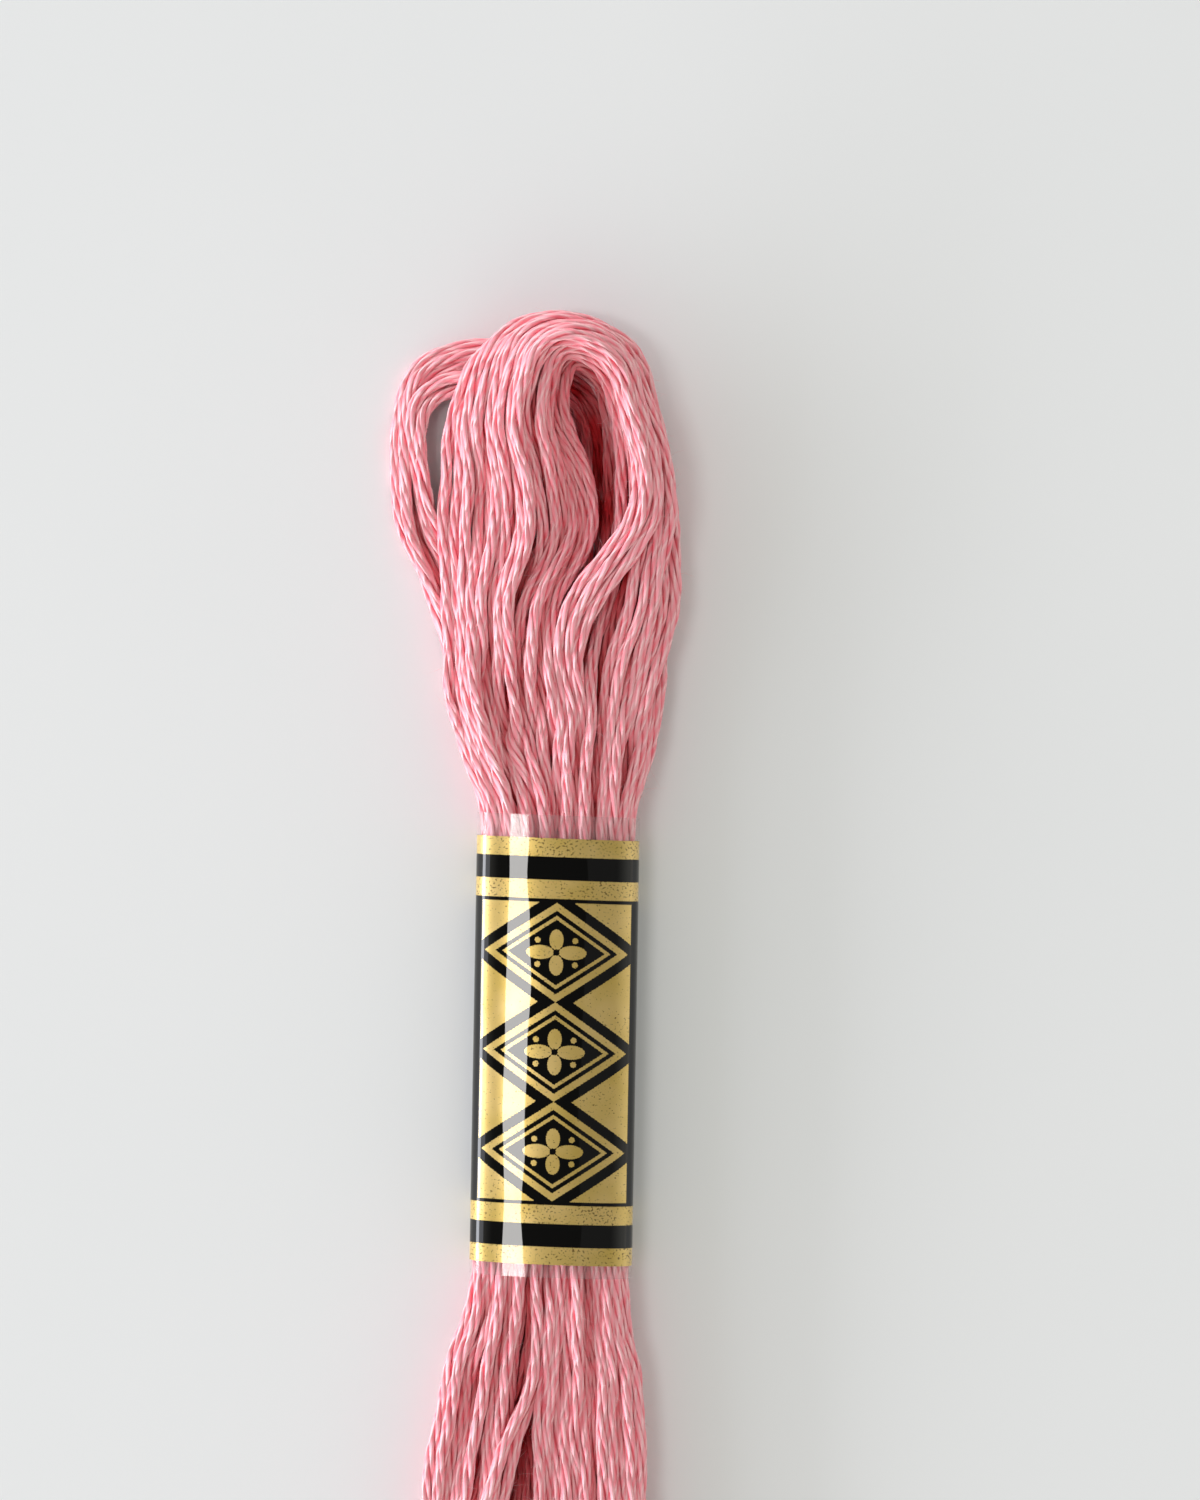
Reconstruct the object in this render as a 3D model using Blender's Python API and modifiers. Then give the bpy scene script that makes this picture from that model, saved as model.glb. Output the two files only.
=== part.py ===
"""A skein of six-strand embroidery floss, held by a printed film band.

The skein lies on its back.  +Y runs along it towards the head (the looped end
with the open eye), +X to the right seen from above, and +Z is up.  The origin
is the middle of the band's flat underside, on the surface that it lies on.

The floss is one long thread, wound in 24 turns.  Three turns that lie together
make a lock, so the hank is eight locks.  Each lock goes up its left leg, over
the head, down its right leg, through the band, round the tail and back.
Sizes are in millimetres and become metres with MM.
"""

import math
from collections import namedtuple

import bmesh
import bpy
from mathutils import Vector

MM = 0.001

# The film band.
BAND_LENGTH = 38.1
BAND_WIDTH = 13.5
BAND_HEIGHT = 5.35
BAND_FILM = 0.3
BAND_SQUARENESS = 2.3      # exponent of its oval section; 2 is a plain ellipse
BAND_FLAT_DEPTH = 0.15     # how far the oval is pressed flat on the surface
BAND_GAP = 0.3             # clear space between the film and the floss
SECTION_STEPS = 64

# The locks of floss.
LOCK_RADIUS = 1.22         # a lock where it lies free
SLOT_RADIUS = 0.95         # a lock where the band squeezes it
SQUEEZE_LENGTH = 9.0       # how far from the band's mouth it stays squeezed
LOCK_STEP = 1.6            # spacing of the points along a lock
LOCK_RING_RESOLUTION = 3
ARCH_SQUARENESS = 2.2
ARCH_SHARES = (0.45, 0.78)  # heights between shoulder and apex that shape an arch
SLOT_DEPTH = 9.0           # how deep inside the band a lock's end is buried

# The hank's skin.
VOXEL = 0.42
SMOOTH_PASSES = 3
SKIN_TRIANGLES = 9600

# Places along Y of a leg's sections, and of the same sections of the tail.
MOUTH = BAND_LENGTH / 2 + 0.6   # where the locks come out of the band
HEAD = {"neck": 28.0, "waist": 36.0, "belly": 44.0, "shoulder": 52.0}
TAIL = {"neck": -28.0, "waist": -36.0, "belly": -62.0, "shoulder": -88.0}

Leg = namedtuple("Leg", "slot neck waist belly shoulder")
Apex = namedtuple("Apex", "x y z")

# One row for each lock and side: (x, z) of its middle where it leaves the band
# and at the four sections of the head.  Locks A to F are the body, from its
# left edge to the eye; E and F swing right in an S beside the eye.  G and H
# are the slack loop at the left.  On the right, D and E cross in front.
LEFT_LEGS = {
    #         slot           neck           waist          belly          shoulder
    "A": Leg((-5.0, 3.4), (-8.1, 2.6), (-8.8, 2.6), (-9.2, 2.0), (-8.3, 3.2)),
    "B": Leg((-3.7, 3.6), (-6.8, 3.5), (-7.3, 3.3), (-7.1, 2.8), (-7.1, 4.3)),
    "C": Leg((-2.4, 3.7), (-5.4, 3.1), (-5.7, 3.4), (-5.0, 3.3), (-5.6, 5.1)),
    "D": Leg((-1.9, 1.8), (-4.1, 3.6), (-4.4, 3.2), (-2.9, 3.4), (-4.0, 5.7)),
    "E": Leg((-1.0, 3.7), (-2.8, 3.3), (-3.2, 3.9), (-0.2, 4.1), (-2.4, 5.8)),
    "F": Leg((-0.5, 1.7), (-1.4, 3.7), (-1.7, 4.2), (1.8, 4.0), (-1.1, 4.6)),
    "G": Leg((-4.7, 1.8), (-6.8, 1.1), (-9.9, 1.1), (-13.4, 1.1), (-13.0, 1.1)),
    "H": Leg((-3.2, 1.8), (-4.6, 1.1), (-8.2, 1.1), (-12.6, 2.1), (-12.3, 2.2)),
}
RIGHT_LEGS = {
    "A": Leg((4.9, 3.4), (7.0, 2.6), (7.8, 1.4), (8.1, 1.3), (6.6, 2.4)),
    "B": Leg((3.6, 1.8), (6.1, 3.3), (8.1, 3.2), (8.4, 3.2), (6.6, 4.1)),
    "C": Leg((3.4, 3.6), (4.4, 3.6), (6.4, 4.4), (7.6, 5.0), (6.0, 5.5)),
    "D": Leg((0.5, 3.7), (0.4, 4.0), (1.1, 4.9), (6.4, 6.1), (5.0, 6.5)),
    "E": Leg((1.9, 3.7), (2.2, 3.4), (3.1, 3.7), (5.6, 4.5), (3.9, 5.2)),
    "F": Leg((0.9, 1.7), (0.5, 1.3), (2.6, 1.5), (4.2, 2.8), (3.1, 3.5)),
    "G": Leg((2.3, 1.7), (3.0, 1.2), (5.2, 1.1), (5.6, 1.1), (3.9, 1.1)),
    "H": Leg((4.8, 1.8), (5.4, 1.1), (3.3, 1.1), (3.4, 1.1), (1.5, 1.1)),
}
HEAD_APEX = {
    "A": Apex(-1.2, 59.0, 3.3),
    "B": Apex(-0.9, 59.7, 4.5),
    "C": Apex(-0.7, 59.6, 6.0),
    "D": Apex(-0.4, 59.0, 7.0),
    "E": Apex(-0.2, 58.2, 6.0),
    "F": Apex(0.2, 57.7, 4.4),
    "G": Apex(-7.6, 57.4, 1.1),
    "H": Apex(-6.5, 55.0, 1.6),
}

# The tail has no table of its own: its locks fan out evenly from their slots.
TAIL_MIDDLE = -1.4         # X of the fan's middle line
TAIL_SPREAD = 1.95         # how many times wider the belly is than the slots
TAIL_SHARES = {"neck": 0.33, "waist": 0.6, "belly": 1.0, "shoulder": 0.88}
TAIL_LAYERS = {"low": 1.15, "high": 3.3}
TAIL_LAYER_LIMIT = 2.5     # a slot above this height leads to the high layer
TAIL_CROSSING = {"E": {"neck": 0.6, "waist": -2.2, "belly": -5.2, "shoulder": -4.0}}
TAIL_END_X = -2.4
TAIL_END_Y = -103.4        # outermost lock of the tail's loop
TAIL_INNER_STEP = 0.75     # each lock further in turns this much earlier
TAIL_END_HEIGHTS = (1.2, 3.1, 4.9)

# Slack floss that fills the bundle under its outer locks, as rounded hearts.
Block = namedtuple("Block", "middle half_size")
HEARTS = {
    "left_body": Block((-4.0, 43.0, 1.5), (6.0, 14.0, 1.9)),
    "right_body": Block((6.2, 42.0, 3.0), (2.2, 12.0, 2.4)),
    "neck": Block((-0.3, 25.0, 2.4), (7.4, 13.0, 2.1)),
    "tail_neck": Block((-0.6, -26.0, 2.4), (7.4, 13.0, 2.1)),
    "tail_body": Block((-1.6, -60.0, 1.9), (9.2, 36.0, 1.9)),
}
HEART_RINGS = {"u_segments": 24, "v_segments": 16}
CORE_EXCESS = 0.4          # the core is this much fatter until the band trims it

# Cutters and welding.
FLOOR_BLOCK = Block((0, -20, -5), (40, 130, 5))
BAND_CUTTER_MARGIN = 20.0  # how far the band's cutter reaches past the hank
WELD = 0.001


def oval(width, height, steps=SECTION_STEPS):
    """Points (x, z) of a squarish oval of this size around its own middle."""
    points = []
    for index in range(steps):
        angle = math.tau * index / steps
        across, up = math.cos(angle), math.sin(angle)
        power = 2 / BAND_SQUARENESS
        x = math.copysign(abs(across) ** power, across) * width / 2
        z = math.copysign(abs(up) ** power, up) * height / 2
        points.append((x, z))
    return points


def band_section(inset):
    """The band's section, drawn in by inset all round, with its flat underside."""
    full_height = BAND_HEIGHT + BAND_FLAT_DEPTH
    middle = BAND_HEIGHT - full_height / 2
    ring = oval(BAND_WIDTH - 2 * inset, full_height - 2 * inset)
    return [(x, max(z + middle, inset)) for x, z in ring]


def sweep_along_y(name, sections, y_start, y_end):
    """A prism along Y; a second section is a hole through it."""
    curve = bpy.data.curves.new(name, "CURVE")
    curve.dimensions = "2D"
    curve.fill_mode = "BOTH"
    curve.extrude = (y_end - y_start) / 2 * MM
    for section in sections:
        spline = curve.splines.new("POLY")
        spline.points.add(len(section) - 1)
        spline.use_cyclic_u = True
        for point, (x, z) in zip(spline.points, section):
            point.co = (x * MM, z * MM, 0.0, 1.0)
    prism = bpy.data.objects.new(name, curve)
    prism.rotation_euler.x = math.pi / 2
    prism.location.y = (y_start + y_end) / 2 * MM
    return prism


def smooth_path(points, step):
    """A smooth curve through the points, sampled about every step."""
    ends = [2 * points[0] - points[1]], [2 * points[-1] - points[-2]]
    guide = ends[0] + points + ends[1]
    path = []
    for before, start, end, after in zip(guide, guide[1:], guide[2:], guide[3:]):
        count = max(1, round((end - start).length / step))
        for index in range(count):
            t = index / count
            path.append(
                0.5 * (2 * start + (end - before) * t
                       + (2 * before - 5 * start + 4 * end - after) * t ** 2
                       + (3 * start - before - 3 * end + after) * t ** 3))
    path.append(points[-1])
    return path


def leg_points(leg, stations):
    """A leg's points from inside the band to its shoulder."""
    outward = math.copysign(1, stations["neck"])
    x, z = leg.slot
    points = [Vector((x, outward * (MOUTH - SLOT_DEPTH), z)),
              Vector((x, outward * MOUTH, z))]
    for section, y in stations.items():
        x, z = getattr(leg, section)
        points.append(Vector((x, y, z)))
    return points


def arch_points(shoulder, apex):
    """Points that round off the way from a shoulder up to the apex."""
    points = []
    for share in ARCH_SHARES:
        reach = (1 - share ** ARCH_SQUARENESS) ** (1 / ARCH_SQUARENESS)
        points.append(Vector((apex.x + (shoulder.x - apex.x) * reach,
                              shoulder.y + (apex.y - shoulder.y) * share,
                              shoulder.z + (apex.z - shoulder.z) * share)))
    return points


def lock_route(left, right, apex, stations):
    """The whole way of a lock round one end of the hank, left to right."""
    up = leg_points(left, stations)
    down = leg_points(right, stations)
    top = Vector(apex)
    points = up + arch_points(up[-1], top) + [top]
    points += reversed(down + arch_points(down[-1], top))
    return smooth_path(points, LOCK_STEP)


def tail_leg(lock, leg, crossing):
    """A tail leg fans out from its slot in the band."""
    slot_x, slot_z = leg.slot
    layer = TAIL_LAYERS["high" if slot_z > TAIL_LAYER_LIMIT else "low"]
    sections = {}
    for section, share in TAIL_SHARES.items():
        fan_x = TAIL_MIDDLE + slot_x * TAIL_SPREAD
        x = slot_x + (fan_x - slot_x) * share
        if crossing:
            x += TAIL_CROSSING.get(lock, {}).get(section, 0.0)
        sections[section] = (x, layer)
    return Leg(slot=leg.slot, **sections)


def slots_apart(lock):
    """How far a lock's two legs are apart in the band."""
    return RIGHT_LEGS[lock].slot[0] - LEFT_LEGS[lock].slot[0]


def tail_apex(lock):
    """The turning point of a lock in the tail's loop, wide locks furthest out."""
    order = sorted(HEAD_APEX, key=slots_apart, reverse=True).index(lock)
    height = TAIL_END_HEIGHTS[order % len(TAIL_END_HEIGHTS)]
    return Apex(TAIL_END_X, TAIL_END_Y + TAIL_INNER_STEP * order, height)


def lock_radius(y):
    """A lock is thinner near the band, which squeezes it."""
    clear = min(1.0, max(0.0, abs(y) - MOUTH) / SQUEEZE_LENGTH)
    return SLOT_RADIUS + (LOCK_RADIUS - SLOT_RADIUS) * clear


def lock_tube(name, route):
    """A lock as a tube along its route."""
    curve = bpy.data.curves.new(name, "CURVE")
    curve.dimensions = "3D"
    curve.bevel_depth = MM
    curve.bevel_resolution = LOCK_RING_RESOLUTION
    curve.use_fill_caps = True
    spline = curve.splines.new("POLY")
    spline.points.add(len(route) - 1)
    for point, place in zip(spline.points, route):
        point.co = (*(place * MM), 1.0)
        point.radius = lock_radius(place.y)
    return bpy.data.objects.new(name, curve)


def placed(name, shape, block):
    """An object from a shape of half size 1, brought to its block's size and place."""
    bmesh.ops.scale(shape, vec=Vector(block.half_size) * MM, verts=shape.verts)
    bmesh.ops.translate(shape, vec=Vector(block.middle) * MM, verts=shape.verts)
    mesh = bpy.data.meshes.new(name)
    shape.to_mesh(mesh)
    shape.free()
    return bpy.data.objects.new(name, mesh)


def heart(name, block):
    """A rounded filling of slack floss."""
    shape = bmesh.new()
    bmesh.ops.create_uvsphere(shape, radius=1.0, **HEART_RINGS)
    return placed(name, shape, block)


def as_mesh(source, collection):
    """The object's evaluated mesh in world space, and the object removed."""
    collection.objects.link(source)
    bpy.context.view_layer.update()
    depsgraph = bpy.context.evaluated_depsgraph_get()
    mesh = bpy.data.meshes.new_from_object(source.evaluated_get(depsgraph))
    mesh.transform(source.matrix_world)
    bpy.data.objects.remove(source)
    return mesh


def hank_raw(collection):
    """All locks, hearts and the core in one mesh, still passing through each other."""
    sources = []
    for lock in HEAD_APEX:
        left, right = LEFT_LEGS[lock], RIGHT_LEGS[lock]
        head = lock_route(left, right, HEAD_APEX[lock], HEAD)
        tail = lock_route(tail_leg(lock, left, True), tail_leg(lock, right, False),
                          tail_apex(lock), TAIL)
        sources.append(lock_tube(f"head_lock_{lock}", head))
        sources.append(lock_tube(f"tail_lock_{lock}", tail))
    for name, block in HEARTS.items():
        sources.append(heart(name, block))
    core = band_section(BAND_FILM + BAND_GAP - CORE_EXCESS)
    sources.append(sweep_along_y("core", [core], -MOUTH, MOUTH))

    together = bmesh.new()
    for source in sources:
        mesh = as_mesh(source, collection)
        together.from_mesh(mesh)
        bpy.data.meshes.remove(mesh)
    bmesh.ops.remove_doubles(together, verts=together.verts, dist=WELD * MM)
    mesh = bpy.data.meshes.new("hank_raw")
    together.to_mesh(mesh)
    together.free()
    return bpy.data.objects.new("hank_raw", mesh)


def largest_shell(shape):
    """Delete every shell of a mesh but its largest, such as closed inner voids."""
    unseen = set(shape.verts)
    shells = []
    while unseen:
        shell, front = set(), [unseen.pop()]
        while front:
            vertex = front.pop()
            shell.add(vertex)
            for edge in vertex.link_edges:
                other = edge.other_vert(vertex)
                if other in unseen:
                    unseen.discard(other)
                    front.append(other)
        shells.append(shell)
    keep = max(shells, key=len)
    spare = [vertex for vertex in shape.verts if vertex not in keep]
    bmesh.ops.delete(shape, geom=spare, context="VERTS")


def skin(raw, collection):
    """Melt the raw locks into one closed skin and thin out its triangles."""
    remesh = raw.modifiers.new("melt", "REMESH")
    remesh.mode = "VOXEL"
    remesh.voxel_size = VOXEL * MM
    mesh = as_mesh(raw, collection)
    shape = bmesh.new()
    shape.from_mesh(mesh)
    largest_shell(shape)
    for _ in range(SMOOTH_PASSES):
        bmesh.ops.smooth_vert(shape, verts=shape.verts, factor=0.5,
                              use_axis_x=True, use_axis_y=True, use_axis_z=True)
    bmesh.ops.triangulate(shape, faces=shape.faces)
    shape.to_mesh(mesh)
    shape.free()
    hank = bpy.data.objects.new("floss_hank", mesh)
    decimate = hank.modifiers.new("thin_out", "DECIMATE")
    decimate.ratio = SKIN_TRIANGLES / len(mesh.polygons)
    return hank


def floor_cutter():
    """A block under the surface: it gives the hank its flat spots."""
    shape = bmesh.new()
    bmesh.ops.create_cube(shape, size=2.0)
    return placed("floor_cutter", shape, FLOOR_BLOCK)


def band_cutter(collection):
    """The room that the band and its gap take up around the hank."""
    outside = oval(BAND_WIDTH + BAND_CUTTER_MARGIN, BAND_HEIGHT + BAND_CUTTER_MARGIN)
    inside = band_section(BAND_FILM + BAND_GAP)
    reach = BAND_LENGTH / 2 + BAND_GAP
    cutter = sweep_along_y("band_cutter", [outside, inside], -reach, reach)
    mesh = as_mesh(cutter, collection)
    weld_caps(mesh)
    return bpy.data.objects.new("band_cutter", mesh)


def weld_caps(mesh):
    """Close the seam between a swept shape's sides and its flat ends."""
    shape = bmesh.new()
    shape.from_mesh(mesh)
    bmesh.ops.remove_doubles(shape, verts=shape.verts, dist=WELD * MM)
    bmesh.ops.recalc_face_normals(shape, faces=shape.faces)
    shape.to_mesh(mesh)
    shape.free()


def cut(target, cutter, cutters):
    """Cut the target with a hidden cutter, by a Boolean that stays on it."""
    cutter.hide_render = True
    cutter.display_type = "WIRE"
    cutters.objects.link(cutter)
    boolean = target.modifiers.new(cutter.name, "BOOLEAN")
    boolean.operation = "DIFFERENCE"
    boolean.solver = "EXACT"
    boolean.object = cutter


def plain_material(name, colour, roughness, sheen=0.0, coat=0.0):
    """A Principled material with the piece's own colour."""
    material = bpy.data.materials.new(name)
    material.use_nodes = True
    shader = material.node_tree.nodes["Principled BSDF"]
    shader.inputs["Base Color"].default_value = (*colour, 1.0)
    shader.inputs["Roughness"].default_value = roughness
    shader.inputs["Metallic"].default_value = 0.0
    shader.inputs["Sheen Weight"].default_value = sheen
    shader.inputs["Coat Weight"].default_value = coat
    material.diffuse_color = (*colour, 1.0)
    return material


def build_hank(parts, cutters):
    """The wound floss: one solid of its locks."""
    hank = skin(hank_raw(parts), parts)
    parts.objects.link(hank)
    cut(hank, band_cutter(parts), cutters)
    cut(hank, floor_cutter(), cutters)
    hank.data.shade_smooth()
    hank.data.materials.append(
        plain_material("cotton_floss", (0.72, 0.27, 0.31), 0.6, sheen=0.4))


def build_band(parts):
    """The film band: an oval sleeve with a flat underside."""
    sections = [band_section(0.0), band_section(BAND_FILM)]
    half = BAND_LENGTH / 2
    mesh = as_mesh(sweep_along_y("label_band", sections, -half, half), parts)
    weld_caps(mesh)
    mesh.shade_smooth()
    mesh.set_sharp_from_angle(angle=math.radians(30))
    mesh.materials.append(
        plain_material("printed_film", (0.02, 0.02, 0.02), 0.2, coat=1.0))
    parts.objects.link(bpy.data.objects.new("label_band", mesh))


def main():
    for old in list(bpy.data.objects):
        bpy.data.objects.remove(old)
    parts = bpy.data.collections.new("embroidery_floss_skein")
    cutters = bpy.data.collections.new("cutters")
    for collection in (parts, cutters):
        bpy.context.scene.collection.children.link(collection)
    build_hank(parts, cutters)
    build_band(parts)


main()
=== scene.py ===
"""Looks of a skein of six-strand embroidery floss, drawn together by a printed film band.

The tables are in millimetres and the scene is in metres. +Y runs along the skein to its head, +X lies
to the right seen from above, and the skein rests on z = 0.
"""

import math
from collections import namedtuple
from functools import reduce

import bpy
import numpy as np
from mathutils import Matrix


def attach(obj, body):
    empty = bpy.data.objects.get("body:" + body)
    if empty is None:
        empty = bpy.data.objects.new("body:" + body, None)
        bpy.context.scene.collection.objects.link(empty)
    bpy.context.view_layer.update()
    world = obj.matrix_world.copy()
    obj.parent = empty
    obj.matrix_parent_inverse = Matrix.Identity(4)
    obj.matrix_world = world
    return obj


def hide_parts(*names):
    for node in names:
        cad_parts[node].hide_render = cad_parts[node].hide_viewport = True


MM = 0.001
SEED = 7

# The camera looks straight down, and the picture's scale holds a little above the surface.
IMAGE_PIXELS = (1200, 1500)
PIXELS_PER_MM = 12.07
IMAGE_CENTRE = (3.33, 24.5)
SCALE_HEIGHT = 2.7
CAMERA_DISTANCE = 450.0
CAMERA_ROLL = math.radians(1.02)
SENSOR_SIZE = 36.0
CLIP_RANGE = (10.0, 10000.0)

# The floss: six strands, five of them laid round the sixth.
FLOSS_DIAMETER = 0.80
STRAND_RADIUS = 0.225
LAY_RADIUS = 0.325
OUTER_STRANDS = 5
OUTER_SIDES = 6
CORE_SIDES = 4
TWIST_PITCH = 14.0

# Each strand is two plies, whose seams run round it. A strand's map starts at a random length.
PLIES = 2.0
PLY_LENGTH = 1.7
PLY_DEPTH = 0.10
MAP_SHIFT = 50 * PLY_LENGTH

# How far the twist strays along the floss, as a share or an angle, and over what length.
Drift = namedtuple("Drift", "size length")
PITCH_DRIFT = Drift(0.22, 24.0)
PITCH_DRIFT_LIMIT = 1.6
ANGLE_DRIFT = Drift(0.22, 5.0)
LAY_DRIFT = Drift(0.10, 4.0)

# The thread's nodes, and how many of them get a ring of vertices deep in the band.
NODE_STEP = 0.74
HIDDEN_STRIDE = 4
HIDDEN_DEPTH = 3.5

# The band round the skein.
BAND_WIDTH = 13.5
BAND_HEIGHT = 5.35
BAND_LENGTH = 38.1
BAND_SQUARENESS = 2.3
BAND_FLAT_DEPTH = 0.15
BAND_WALL = 0.16
MOUTH = BAND_LENGTH / 2 + 0.2

# Deeper in the band than this the turns run straight.
SLOT_DEPTH = 9.0

# The band's hold on a turn ends over this length, from this deep in its mouth.
HOLD_DEPTH = 3.0
HOLD_LENGTH = 8.0

# Places along the skein at which each lock of three turns has its (x, z).
HEAD = {"neck": 28.0, "waist": 36.0, "belly": 44.0, "shoulder": 52.0}
TAIL = {"neck": -28.0, "waist": -36.0, "belly": -62.0, "shoulder": -88.0}

Leg = namedtuple("Leg", "slot neck waist belly shoulder")
Apex = namedtuple("Apex", "x y z")

LEFT_LEGS = {
    "A": Leg((-5.5, 3.4), (-8.1, 2.6), (-8.8, 2.6), (-9.1, 2.0), (-8.3, 3.2)),
    "B": Leg((-4.1, 3.6), (-6.8, 3.5), (-7.3, 3.3), (-6.95, 3.1), (-7.1, 4.3)),
    "C": Leg((-2.6, 3.7), (-5.4, 3.1), (-5.7, 3.6), (-4.75, 4.0), (-5.6, 5.1)),
    "D": Leg((-2.1, 1.8), (-4.1, 3.6), (-4.4, 3.7), (-2.45, 4.4), (-4.0, 5.7)),
    "E": Leg((-1.1, 3.7), (-2.8, 3.3), (-3.2, 3.6), (-0.2, 3.4), (-2.4, 5.6)),
    "F": Leg((-0.5, 1.7), (-1.4, 3.7), (-1.7, 3.9), (1.8, 3.5), (-1.1, 4.6)),
    "G": Leg((-5.2, 1.8), (-6.8, 1.1), (-9.9, 1.1), (-13.1, 1.0), (-13.6, 1.0)),
    "H": Leg((-3.5, 1.8), (-4.6, 1.1), (-8.2, 1.1), (-11.9, 1.2), (-13.0, 1.5)),
}
RIGHT_LEGS = {
    "A": Leg((5.4, 3.4), (7.0, 2.6), (7.8, 1.4), (8.2, 1.3), (6.7, 2.4)),
    "B": Leg((4.0, 1.8), (6.1, 3.3), (8.1, 3.2), (8.5, 3.0), (6.8, 4.0)),
    "C": Leg((3.8, 3.6), (4.4, 3.6), (6.4, 4.4), (8.0, 4.7), (6.3, 5.5)),
    "D": Leg((0.6, 3.7), (0.4, 4.0), (1.1, 4.9), (6.9, 5.9), (5.6, 6.5)),
    "E": Leg((2.1, 3.7), (2.2, 3.4), (3.3, 3.3), (6.0, 3.5), (4.9, 4.0)),
    "F": Leg((1.0, 1.7), (0.5, 1.3), (2.8, 1.4), (4.9, 2.0), (4.0, 2.3)),
    "G": Leg((2.5, 1.7), (3.0, 1.2), (4.8, 1.1), (4.4, 1.0), (3.6, 1.0)),
    "H": Leg((5.3, 1.8), (5.4, 1.1), (2.0, 1.1), (2.0, 0.9), (1.7, 0.9)),
}
HEAD_APEX = {
    "A": Apex(-1.2, 59.2, 3.3),
    "B": Apex(-0.9, 59.9, 4.5),
    "C": Apex(-0.7, 59.8, 6.0),
    "D": Apex(-0.4, 59.2, 7.0),
    "E": Apex(-0.2, 58.4, 6.0),
    "F": Apex(0.0, 57.8, 4.6),
    "G": Apex(-7.8, 57.5, 1.1),
    "H": Apex(-6.8, 55.3, 1.6),
}
ARCH_SQUARENESS = 2.2
ARCH_SHARES = (0.45, 0.78)

TAIL_MIDDLE = -1.4
TAIL_SPREAD = 1.75
TAIL_SHARES = {"neck": 0.33, "waist": 0.6, "belly": 1.0, "shoulder": 0.88}
TAIL_LAYERS = {"low": 1.15, "high": 3.3}
TAIL_LAYER_LIMIT = 2.5
TAIL_CROSSING = {"E": {"neck": 0.6, "waist": -2.2, "belly": -5.2, "shoulder": -4.0}}
TAIL_END_X = -2.4
TAIL_END_Y = -103.4
TAIL_INNER_STEP = 0.75
TAIL_END_HEIGHTS = (1.2, 3.1, 4.9)

# A lock is a ribbon of three turns, whose places across and up are shares of its half sizes.
TURN_PLACES = ((-1.0, -0.35), (0.0, 0.6), (1.0, -0.35))
Ribbon = namedtuple("Ribbon", "half_width half_height")
HEAD_RIBBON = {
    "slot": Ribbon(0.66, 0.20),
    "neck": Ribbon(0.88, 0.12),
    "waist": Ribbon(0.86, 0.10),
    "belly": Ribbon(0.86, 0.10),
    "shoulder": Ribbon(0.70, 0.34),
    "apex": Ribbon(0.55, 0.45),
}
TAIL_RIBBON = {
    "slot": Ribbon(0.66, 0.20),
    "neck": Ribbon(0.82, 0.12),
    "waist": Ribbon(0.90, 0.10),
    "belly": Ribbon(0.95, 0.10),
    "shoulder": Ribbon(0.90, 0.15),
    "apex": Ribbon(0.55, 0.45),
}
LEFT_RIBBON_WIDTHS = {"E": 0.80, "F": 0.80, "G": 0.50, "H": 0.50}
RIGHT_RIBBON_WIDTHS = {"G": 1.1, "H": 1.1}
SHAPING_ROUNDS = 14

# Each turn wanders on its own, and neighbouring turns sway together.
WANDER_LENGTH = 10.0
WANDER_SIZE = (0.20, 0.20)
SWAY_LENGTH = 13.0
SWAY_WIDTH = 6.0
SWAY_SIZE = 0.10
Wave = namedtuple("Wave", "size along across up phase")
SWAY_WAVES = (Wave(1.0, 2.0, 1.9, 1.3, 0.0), Wave(0.6, 3.7, -1.1, 0.0, 2.0))

# Settling. A turn's middle stays CLEARANCE away from the surface and from the film.
SETTLING_STEPS = 150
CLEARANCE = 0.5
CONTACT_REACH = 0.5
CONTACT_RENEWAL = 5


# ---------------------------------------------------------------- routes of the thread


def smooth_path(points, step):
    """A smooth curve through rows of numbers, about one row a step of its first three columns."""
    rows = np.array(points, float)
    guide = np.vstack([2 * rows[0] - rows[1], rows, 2 * rows[-1] - rows[-2]])
    parts = []
    for before, start, end, after in zip(guide, guide[1:], guide[2:], guide[3:]):
        count = max(1, round(np.linalg.norm((end - start)[:3]) / step))
        t = (np.arange(count) / count)[:, None]
        slope = (end - before) * t
        bend = (2 * before - 5 * start + 4 * end - after) * t**2
        twist = (3 * start - before - 3 * end + after) * t**3
        parts.append(0.5 * (2 * start + slope + bend + twist))
    parts.append(rows[-1:])
    return np.vstack(parts)


def scaled_ribbon(ribbon, share):
    """The same ribbon, narrower where its turns cling together and wider where they spread."""
    return {name: Ribbon(size.half_width * share, size.half_height) for name, size in ribbon.items()}


def leg_points(leg, stations, ribbon):
    """Rows of x, y, z, half width and half height, from the band's middle out to the shoulder."""
    outward = math.copysign(1, stations["neck"])
    x, z = leg.slot
    rows = [(x, outward * y, z, *ribbon["slot"]) for y in (0.0, MOUTH - SLOT_DEPTH, MOUTH)]
    for name, y in stations.items():
        x, z = getattr(leg, name)
        rows.append((x, y, z, *ribbon[name]))
    return rows


def arch_points(shoulder, apex, ribbon):
    """Two rows on the round corner between a shoulder and the apex."""
    rows = []
    for share in ARCH_SHARES:
        reach = (1 - share**ARCH_SQUARENESS) ** (1 / ARCH_SQUARENESS)
        place = (
            apex.x + (shoulder[0] - apex.x) * reach,
            shoulder[1] + (apex.y - shoulder[1]) * share,
            shoulder[2] + (apex.z - shoulder[2]) * share,
        )
        rows.append((*place, *ribbon["shoulder"]))
    return rows


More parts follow.
